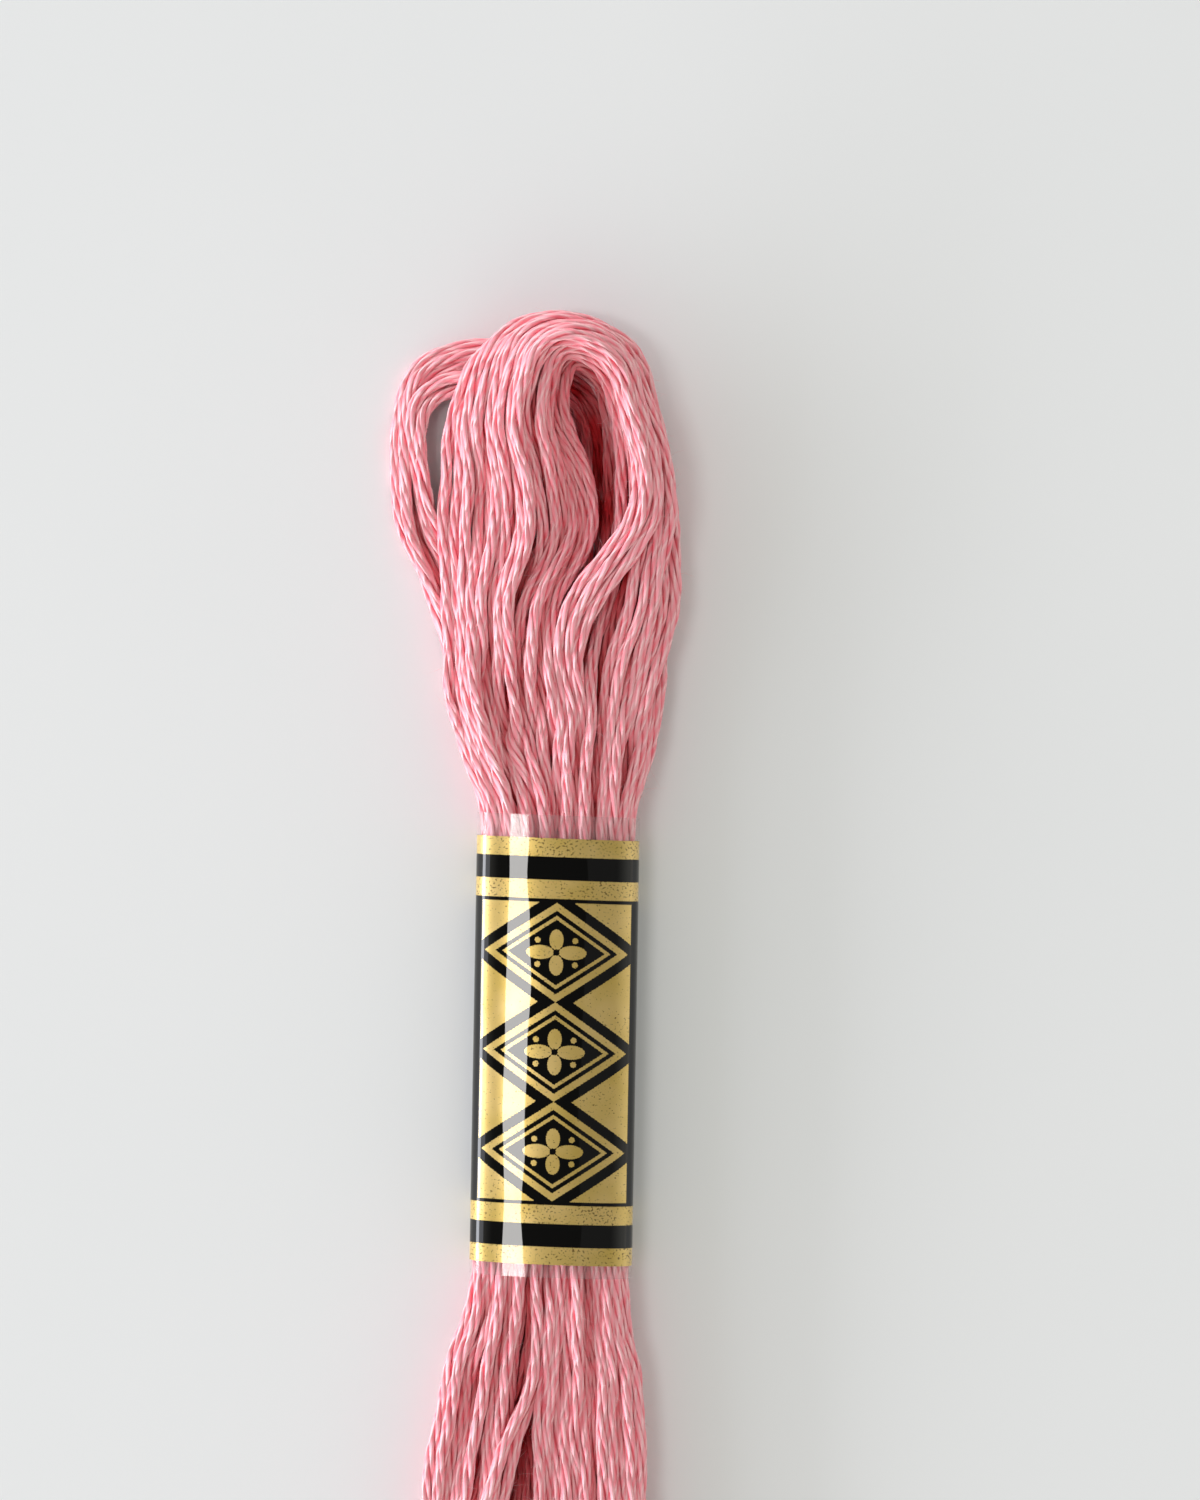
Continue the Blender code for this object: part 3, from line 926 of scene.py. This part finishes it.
def floss_material():
    """Mercerised cotton: two-ply strands of long fibres with a satin sheen. Its base colour has painted
    highlights on the ply crowns, and painted shade in the ply seams, on the strands' inner sides and deep
    in gaps.
    """
    material, tree, shader = material_with_shader("cotton_floss")
    around, along = mapped(tree, "fibre")
    streaks = noise(tree, vector_of(tree, around * 9.0, along * 0.55, 0.0), 1.0, 3.0, 0.6)
    patches = noise(tree, vector_of(tree, around, along * 0.12, 3.0), 1.0, 2.0)
    drift = noise(tree, vector_of(tree, 0.0, along * 0.35, 8.0), 1.0, 1.0)
    turned = (along / PLY_LENGTH) - (around * PLIES) + (drift * 1.6)
    # Painted highlight and shade: the colour is paler on the ply crowns and darker in the seams between
    # plies. It is also paler on each strand's side facing out of the floss than on its side facing in. The
    # ply crowns also give the bump.
    ply_bump_and_painted_light = ((turned * math.tau).cosine() * 0.5 + 0.5) ** 1.4
    outward = (around * math.tau).cosine()
    tone = (ply_bump_and_painted_light * 0.30) + (outward * 0.12) + (streaks * 0.34) + (patches * 0.48)
    colour = ramp(tree, tone, FLOSS_STOPS)
    # Painted shade deep in the gaps, read from the vertices' attribute.
    source = tree.nodes.new("ShaderNodeAttribute")
    source.attribute_name = "painted_shade"
    painted_shade = Field(tree, source.outputs["Fac"])
    painted_shade_share = ((painted_shade - PAINTED_SHADE_START).either(0.0) * PAINTED_SHADE_GAIN).both(1.0) ** PAINTED_SHADE_POWER
    tree.links.new(mixed(tree, painted_shade_share, colour, PAINTED_SHADE_COLOUR), shader.inputs["Base Color"])
    roughness = (streaks * 0.16) + 0.38
    tree.links.new(roughness.socket, shader.inputs["Roughness"])
    shader.inputs["Specular Tint"].default_value = (*FLOSS_SHEEN, 1.0)
    shader.inputs["IOR"].default_value = 1.45
    shader.inputs["Specular IOR Level"].default_value = 0.18
    shader.inputs["Anisotropic"].default_value = 0.9
    round_strand = tree.nodes.new("ShaderNodeTangent")
    round_strand.direction_type = "UV_MAP"
    round_strand.uv_map = "fibre"
    tree.links.new(round_strand.outputs[0], shader.inputs["Tangent"])
    relief = ply_bump_and_painted_light + (streaks * 0.18)
    bumped(tree, shader, relief, 1.0, PLY_DEPTH * MM)
    return material


def fibre_material():
    """Single stray fibres, paler than the floss because light passes them."""
    material, tree, shader = material_with_shader("stray_fibre")
    around, along = mapped(tree, "fibre")
    tone = noise(tree, vector_of(tree, around, along * 2.0, 1.0), 1.0)
    tree.links.new(ramp(tree, tone, FIBRE_STOPS), shader.inputs["Base Color"])
    shader.inputs["Roughness"].default_value = 0.5
    return material


# The print, in millimetres on the film: X across from the middle of the face, Y along the band.
PRINT_MIDDLE = (PRINT_TOP + PRINT_BOTTOM) / 2
PRINT_HALF = (PRINT_TOP - PRINT_BOTTOM) / 2
STRIPE_EDGES = (1.5, 3.4, 4.95)
STRIPE_LINE = 0.3
FIELD_HALF_WIDTH = 7.3
SIDE_LINE = (7.8, 8.1)
SERRATION_PITCH = 0.19
SERRATION_DEPTH = 0.055

# Each lozenge has two frames, as shares of its size, a flower in it and triangles between it and the next.
LOZENGE_PITCH = 8.2
LOZENGE_HALF_WIDTH = 6.1
LOZENGE_HALF_LENGTH = 4.1
LOZENGE_FRAMES = ((0.66, 0.74), (0.84, 1.0))
TRIANGLE_SHARE = 1.24
TRIANGLE_HALF_WIDTH = 6.4
Oval = namedtuple("Oval", "x y half_width half_length")
FLOWER_OVALS = (
    Oval(1.35, 0.0, 1.15, 0.58),
    Oval(0.0, 1.05, 0.58, 0.85),
    Oval(1.55, 1.0, math.sqrt(0.06), math.sqrt(0.06)),
)
FLOWER_HEART = Oval(0.0, 0.0, math.sqrt(0.07), math.sqrt(0.07))

INK_BLACK = (0.0030, 0.0029, 0.0026)
GOLD_STOPS = ((0.3, (0.64, 0.45, 0.11)), (0.7, (0.79, 0.57, 0.22)))
GOLD_METAL = 0.5

# The gold is worn away in specks where the grain passes a level, and more so in places and on the stripes.
SPECK_COLOUR = (0.14, 0.09, 0.03)
SPECK_LEVEL = 0.76
SPECK_PATCHES = 0.20
SPECK_STRIPES = 0.05
INK_RELIEF = 0.03


def oval_reach(x, y, oval):
    """How far out from an oval's middle: 1 on its rim, rising with the square."""
    return (((x - oval.x) / oval.half_width) ** 2.0) + (((y - oval.y) / oval.half_length) ** 2.0)


def gold_mask(across, along):
    """1 where the print is gold, in end stripes and a chain of lozenges, and the distance from the end."""
    half_step = SERRATION_PITCH / 2
    tooth = SERRATION_DEPTH / half_step
    x = abs(across + along.zigzag(half_step) * tooth)
    y = along + across.zigzag(half_step) * tooth - PRINT_MIDDLE
    from_end = (abs(y) * -1.0) + PRINT_HALF
    first, second, third = STRIPE_EDGES
    stripes = (from_end < first).either(from_end.between(second, third))
    field = (from_end > third + STRIPE_LINE).both(x < FIELD_HALF_WIDTH)

    step = abs(y.centred(LOZENGE_PITCH))
    lozenge = (x / LOZENGE_HALF_WIDTH) + (step / LOZENGE_HALF_LENGTH)
    frames = any_of(lozenge.between(*edges) for edges in LOZENGE_FRAMES)
    triangles = (lozenge > TRIANGLE_SHARE).both(x < TRIANGLE_HALF_WIDTH)
    petals = any_of(oval_reach(x, step, oval) < 1.0 for oval in FLOWER_OVALS)
    flower = petals.both(oval_reach(x, step, FLOWER_HEART) > 1.0)
    ornament = any_of((frames, triangles, flower))
    side_line = x.between(*SIDE_LINE).both(from_end > third)
    return any_of((stripes, field.both(ornament), side_line)), from_end


def print_material():
    """Black and gold ink behind glossy film."""
    material, tree, shader = material_with_shader("printed_film")
    across, along = mapped(tree, "film")
    gold, from_end = gold_mask(across, along)
    tone = noise(tree, vector_of(tree, across * 0.25, along * 0.25, 0.0), 1.0)
    ink = ramp(tree, tone, GOLD_STOPS)
    grain = noise(tree, vector_of(tree, across * 4.6, along * 5.4, 5.0), 1.0, 2.0, 0.6)
    patches = noise(tree, vector_of(tree, across * 0.35, along * 0.35, 9.0), 1.0)
    on_stripes = from_end < STRIPE_EDGES[2]
    specks = (grain + (patches * SPECK_PATCHES) + (on_stripes * SPECK_STRIPES)) > SPECK_LEVEL
    gold_colour = mixed(tree, specks, ink, SPECK_COLOUR)
    colour = mixed(tree, gold, INK_BLACK, gold_colour)
    tree.links.new(colour, shader.inputs["Base Color"])
    metal = gold.both(specks.inverted())
    tree.links.new((metal * GOLD_METAL).socket, shader.inputs["Metallic"])
    fine = noise(tree, vector_of(tree, across * 5.0, along * 5.0, 2.0), 1.0, 2.0)
    roughness = (gold * 0.04) + 0.22 + (fine * 0.08)
    tree.links.new(roughness.socket, shader.inputs["Roughness"])
    shader.inputs["Specular IOR Level"].default_value = 0.0
    shader.inputs["Coat Weight"].default_value = 1.0
    shader.inputs["Coat Roughness"].default_value = 0.02
    bumped(tree, shader, fine, 0.05, INK_RELIEF * MM)
    return material


CLEAR_STOPS = ((0.3, (0.62, 0.46, 0.49)), (0.7, (0.74, 0.60, 0.62)))
CLEAR_ALPHA = 0.10
CLEAR_GLOSS_IOR = 3.5


def clear_material():
    """Unprinted film: a faint veil with a sharp gloss."""
    material, tree, shader = material_with_shader("clear_film")
    across, along = mapped(tree, "film")
    haze = noise(tree, vector_of(tree, across * 0.8, along * 0.8, 0.0), 1.0)
    tree.links.new(ramp(tree, haze, CLEAR_STOPS), shader.inputs["Base Color"])
    tree.links.new(((haze * 0.04) + 0.03).socket, shader.inputs["Roughness"])
    shader.inputs["IOR"].default_value = CLEAR_GLOSS_IOR
    shader.inputs["Alpha"].default_value = CLEAR_ALPHA
    return material


SURFACE_STOPS = ((0.2, (0.85, 0.865, 0.885)), (0.8, (0.87, 0.88, 0.90)))
SURFACE_GRAIN = 18.0


def surface_material():
    """The pale, faintly mottled surface that the skein lies on."""
    material, tree, shader = material_with_shader("pale_surface")
    place = tree.nodes.new("ShaderNodeTexCoord")
    tone = noise(tree, place.outputs["Object"], SURFACE_GRAIN)
    tree.links.new(ramp(tree, tone, SURFACE_STOPS), shader.inputs["Base Color"])
    shader.inputs["Roughness"].default_value = 0.6
    shader.inputs["Specular IOR Level"].default_value = 0.2
    return material


# ---------------------------------------------------------------- surroundings

SURFACE_SIZE = 6000.0
Lamp = namedtuple("Lamp", "tilt distance middle width length radiance colour")
LAMPS = {
    "window_slit": Lamp(-21.2, 2400.0, -135.0, 740.0, 300.0, 12.0, (1.0, 0.98, 0.96)),
    "window_low": Lamp(-68.0, 1500.0, 15.0, 368.0, 8000.0, 1.45, (0.93, 0.96, 1.10)),
    "window_sill": Lamp(-81.5, 1500.0, 15.0, 342.0, 8000.0, 9.5, (0.95, 0.97, 1.06)),
    "wall_right": Lamp(42.0, 900.0, 15.0, 1040.0, 1000.0, 0.12, (1.0, 0.99, 0.96)),
}
SKY_STOPS = ((0.10, (1.0, 0.98, 0.90)), (0.50, (0.45, 0.45, 0.41)), (0.72, (0.05, 0.05, 0.05)))
SKY_END_COLOUR = (1.52, 1.51, 1.38)


def make_surface():
    """The table top, which is stage and not part of the skein."""
    bpy.ops.mesh.primitive_plane_add(size=SURFACE_SIZE * MM)
    surface = bpy.context.object
    surface.name = "surface"
    surface.data.materials.append(surface_material())


def make_lamps():
    """Long panels beside the skein, each turned to face it."""
    for name, lamp in LAMPS.items():
        light = bpy.data.lights.new(name, "AREA")
        light.shape = "RECTANGLE"
        light.size = lamp.width * MM
        light.size_y = lamp.length * MM
        light.energy = lamp.radiance * math.pi * light.size * light.size_y
        light.color = lamp.colour
        tilt = math.radians(lamp.tilt)
        holder = bpy.data.objects.new(name, light)
        holder.location = (
            lamp.distance * math.sin(tilt) * MM,
            lamp.middle * MM,
            lamp.distance * math.cos(tilt) * MM,
        )
        holder.rotation_euler = (0.0, tilt, 0.0)
        holder.visible_camera = False
        bpy.context.scene.collection.objects.link(holder)


def make_sky():
    """A room that is dim overhead, brighter round the sides and brightest at both ends of the skein."""
    world = bpy.data.worlds.new("room")
    world.use_nodes = True
    tree = world.node_tree
    place = tree.nodes.new("ShaderNodeTexCoord")
    split = tree.nodes.new("ShaderNodeSeparateXYZ")
    tree.links.new(place.outputs["Generated"], split.inputs[0])
    along, height = Field(tree, split.outputs[1]), Field(tree, split.outputs[2])
    sides = ramp(tree, height, SKY_STOPS)
    brighter = mixed(tree, along**2.0, sides, SKY_END_COLOUR)
    tree.links.new(brighter, tree.nodes["Background"].inputs["Color"])
    bpy.context.scene.world = world


def make_camera():
    """Straight above the skein, turned a little, so that the picture has the photo's framing."""
    camera = bpy.data.cameras.new("camera")
    long_side = max(IMAGE_PIXELS) / PIXELS_PER_MM
    camera.sensor_width = SENSOR_SIZE
    camera.lens = SENSOR_SIZE * CAMERA_DISTANCE / long_side
    camera.clip_start, camera.clip_end = (distance * MM for distance in CLIP_RANGE)
    holder = bpy.data.objects.new("camera", camera)
    height = CAMERA_DISTANCE + SCALE_HEIGHT
    holder.location = (IMAGE_CENTRE[0] * MM, IMAGE_CENTRE[1] * MM, height * MM)
    holder.rotation_euler = (0.0, 0.0, CAMERA_ROLL)
    bpy.context.scene.collection.objects.link(holder)
    bpy.context.scene.camera = holder
    bpy.context.scene.view_settings.view_transform = "Standard"


# ---------------------------------------------------------------- assembly


def fit(piece, material, node):
    """Gives a piece its material and its place in the frame."""
    piece.data.materials.append(material)
    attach(piece, "root")
    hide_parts(node)


def make_floss():
    """The wound thread, one piece a lock, and the stray fibres on it."""
    rng = np.random.default_rng(SEED)
    path, starts, locks = wound_thread(rng)
    path = settled(path, SETTLING_STEPS, FLOSS_DIAMETER)
    # How deep each node lies in a gap that opens upwards, for the painted shade of its colour.
    painted_shade = painted_shade_in_gaps(path)
    material = floss_material()
    for piece in dress_floss(path, starts, locks, painted_shade, rng):
        fit(piece, material, "floss_hank")
    fit(stray_fibres(path, painted_shade, rng), fibre_material(), "floss_hank")


def make_band():
    """The printed film and its two clear margins."""
    fit(film_piece("band_print", PRINT_BOTTOM, PRINT_TOP, 0.0), print_material(), "label_band")
    clear = clear_material()
    fit(film_piece("band_margin_head", PRINT_TOP, FILM_TOP, 1.0), clear, "label_band")
    fit(film_piece("band_margin_tail", FILM_BOTTOM, PRINT_BOTTOM, 2.0), clear, "label_band")


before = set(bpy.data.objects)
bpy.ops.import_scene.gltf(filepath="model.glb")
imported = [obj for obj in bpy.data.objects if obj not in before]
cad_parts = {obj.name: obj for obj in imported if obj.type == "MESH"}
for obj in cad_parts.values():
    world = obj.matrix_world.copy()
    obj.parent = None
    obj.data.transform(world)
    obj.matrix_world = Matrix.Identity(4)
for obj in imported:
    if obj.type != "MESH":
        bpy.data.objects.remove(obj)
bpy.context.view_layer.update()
make_camera()
make_sky()
make_lamps()
make_surface()
make_floss()
make_band()
